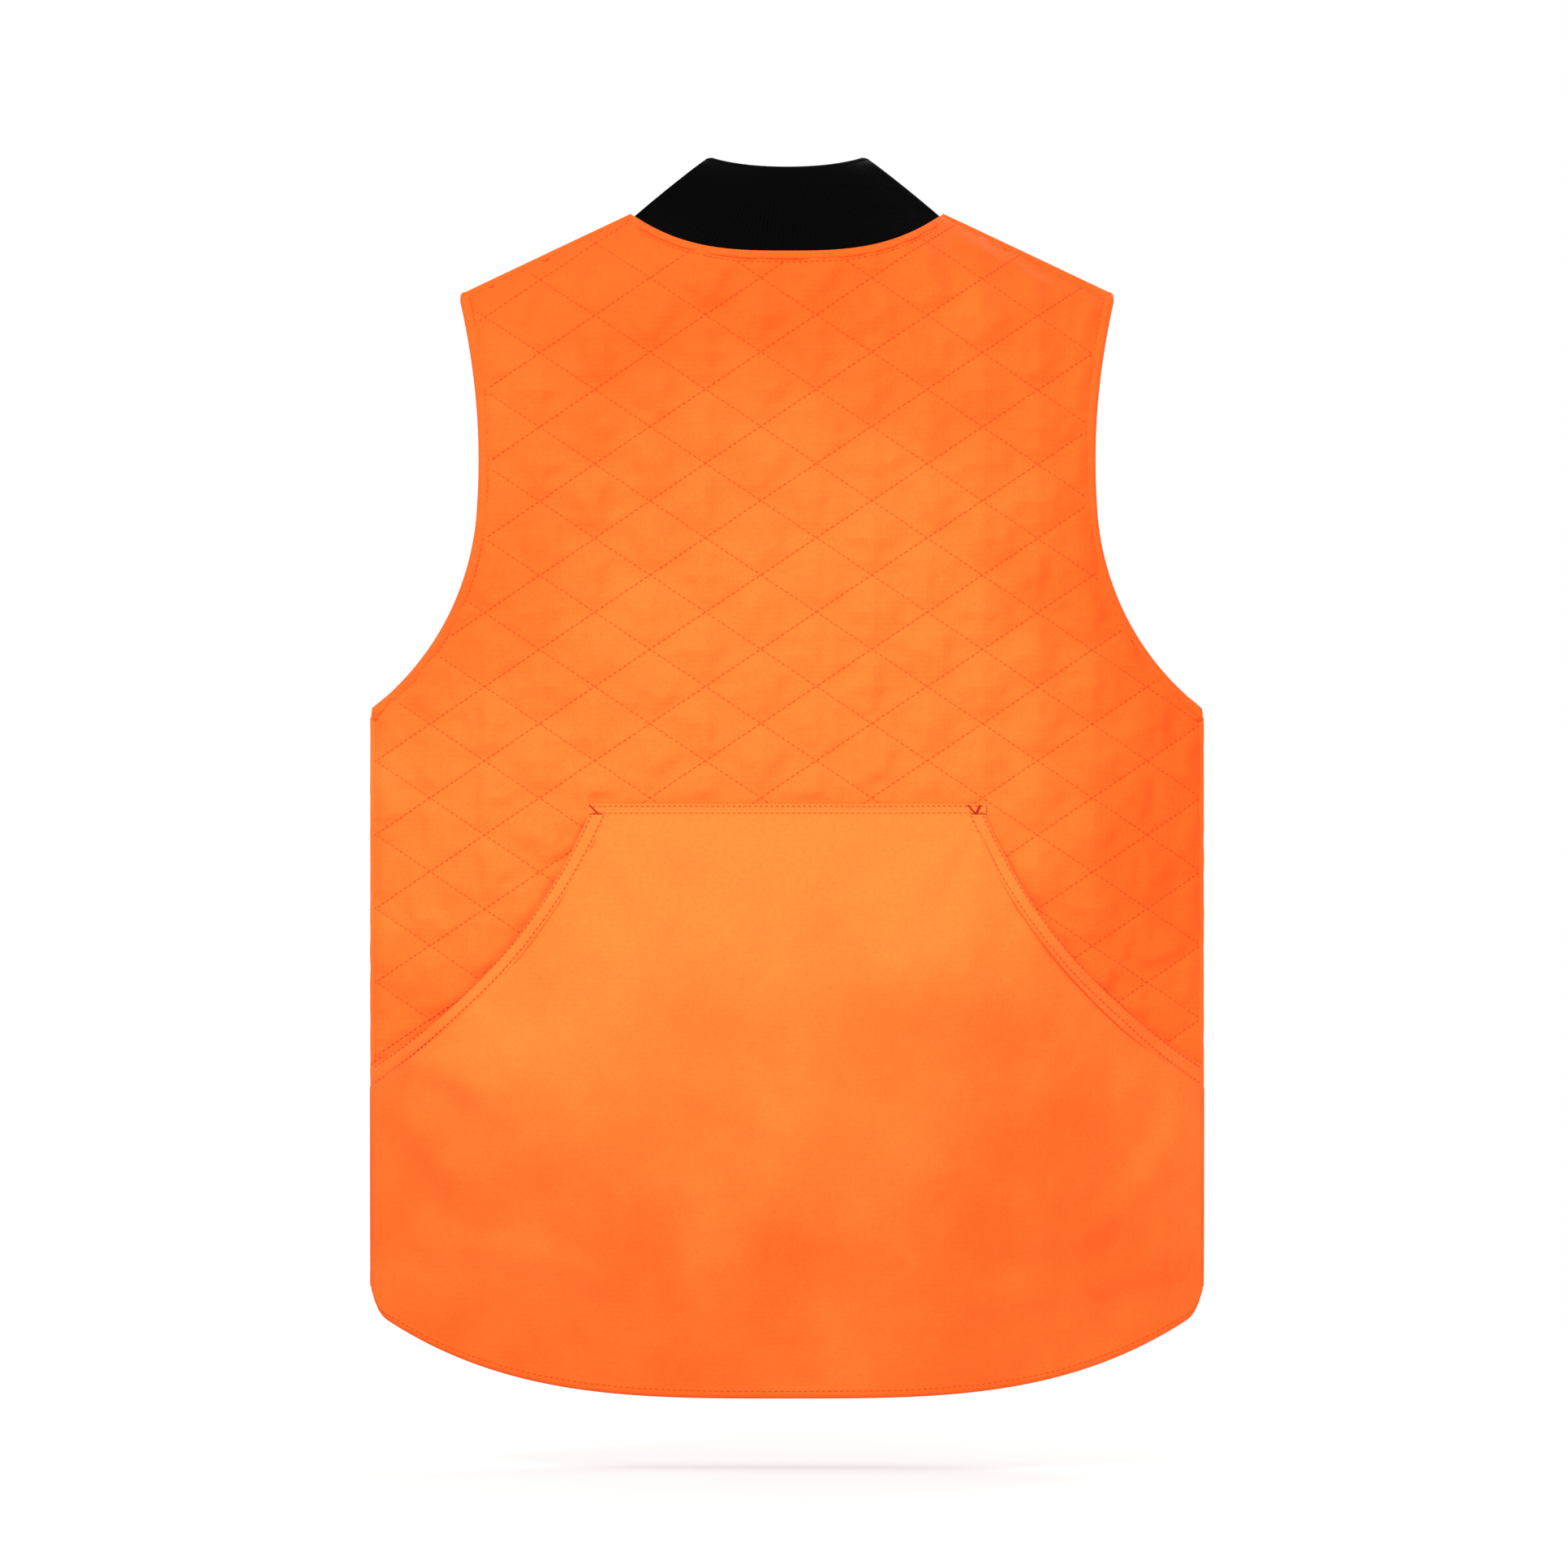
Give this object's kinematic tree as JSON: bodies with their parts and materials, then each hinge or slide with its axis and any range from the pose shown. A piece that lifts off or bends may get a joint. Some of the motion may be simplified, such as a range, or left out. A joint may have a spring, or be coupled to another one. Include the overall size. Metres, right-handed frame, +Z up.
{
  "type": "quilted work vest",
  "caption": "Sleeveless quilted blaze orange vest with a rib knit collar, open zip front, hand pockets and a wide rear pouch with side mouths.",
  "frame": {"origin": "middle of the neck opening, at the height of the centre back neck seam", "axes": "+Z up, the front faces -Y, +X is the wearer's left"},
  "size_m": [0.55, 0.1327, 0.8138],
  "materials": {
    "shell_cloth": "blaze orange quilted cloth",
    "pouch_cloth": "blaze orange plain cloth",
    "binding_cloth": "blaze orange binding",
    "lining_cloth": "smooth orange lining",
    "batting": "white wadding",
    "rib_knit": "black rib knit",
    "bar_tack_thread": "dense red stitching",
    "zip_tape": "black woven tape",
    "zip_plastic": "moulded black",
    "zip_metal": "black lacquered",
    "loop_cord": "black braid",
    "label_cloth": "blank woven label"
  },
  "bodies": {
    "torso": {"back_shell": "shell_cloth", "back_batting": "batting", "back_lining": "lining_cloth", "hem_back": "binding_cloth", "hem_front_left": "binding_cloth", "armhole_binding_back_left": "binding_cloth", "armhole_binding_front_left": "binding_cloth", "side_seam_left": "shell_cloth", "shoulder_seam_left": "shell_cloth", "hem_front_right": "binding_cloth", "armhole_binding_back_right": "binding_cloth", "armhole_binding_front_right": "binding_cloth", "side_seam_right": "shell_cloth", "shoulder_seam_right": "shell_cloth", "pouch_panel": "pouch_cloth", "pouch_top_band": "pouch_cloth", "pouch_bar_tack_left": "bar_tack_thread", "front_left_shell": "shell_cloth", "front_left_batting": "batting", "front_left_lining": "lining_cloth", "front_pocket_left": "pouch_cloth", "pocket_mouth_left": "pouch_cloth", "pouch_bar_tack_right": "bar_tack_thread", "front_right_shell": "shell_cloth", "front_right_batting": "batting", "front_right_lining": "lining_cloth", "front_pocket_right": "pouch_cloth", "pocket_mouth_right": "pouch_cloth", "collar_back": "rib_knit", "neck_label": "label_cloth"},
    "front_edge_left": {"hem_edge_left": "binding_cloth", "front_edge_left_shell": "shell_cloth", "front_edge_left_batting": "batting", "front_edge_left_lining": "lining_cloth", "collar_left": "rib_knit", "zip_tape_left": "zip_tape", "zip_teeth_left": "zip_plastic", "zip_top_stop_left": "zip_metal", "zip_pin": "zip_metal"},
    "front_edge_right": {"hem_edge_right": "binding_cloth", "front_edge_right_shell": "shell_cloth", "front_edge_right_batting": "batting", "front_edge_right_lining": "lining_cloth", "collar_right": "rib_knit", "zip_tape_right": "zip_tape", "zip_teeth_right": "zip_plastic", "zip_top_stop_right": "zip_metal", "zip_box": "zip_plastic"},
    "slider": {"zip_slider": "zip_metal"},
    "pull": {"zip_pull": "zip_metal"},
    "pouch_mouth_left": {"pouch_lip_left": "pouch_cloth"},
    "pouch_mouth_right": {"pouch_lip_right": "pouch_cloth"},
    "loop": {"hanger_loop": "loop_cord"}
  },
  "joints": [
    {"name": "front_fold_left", "type": "hinge", "parent": "torso", "child": "front_edge_left", "pos_m": [0.1, -0.0507, -0.4], "axis": [0, 0, 1], "range_deg": [0, 150]},
    {"name": "front_fold_right", "type": "hinge", "parent": "torso", "child": "front_edge_right", "pos_m": [-0.1, -0.0507, -0.4], "axis": [0, 0, -1], "range_deg": [0, 150]},
    {"name": "zip_slide", "type": "slide", "parent": "front_edge_right", "child": "slider", "axis": [0, 0, 1], "range_m": [0, 0.6]},
    {"name": "zip_pull_swing", "type": "hinge", "parent": "slider", "child": "pull", "pos_m": [-0.003, -0.058, -0.719], "axis": [-1, 0, 0], "range_deg": [0, 150]},
    {"name": "pouch_mouth_gape_left", "type": "hinge", "parent": "torso", "child": "pouch_mouth_left", "pos_m": [0.13, 0.04689, -0.37], "axis": [0.6369, -0.1939, -0.7462], "range_deg": [0, 45], "stiffness_Nm_per_rad": 0.02},
    {"name": "pouch_mouth_gape_right", "type": "hinge", "parent": "torso", "child": "pouch_mouth_right", "pos_m": [-0.13, 0.04689, -0.37], "axis": [0.6369, 0.1939, 0.7462], "range_deg": [0, 45], "stiffness_Nm_per_rad": 0.02},
    {"name": "loop_swing", "type": "hinge", "parent": "torso", "child": "loop", "pos_m": [0, 0.046, -0.006], "axis": [-1, 0, 0], "range_deg": [0, 70]}
  ]
}
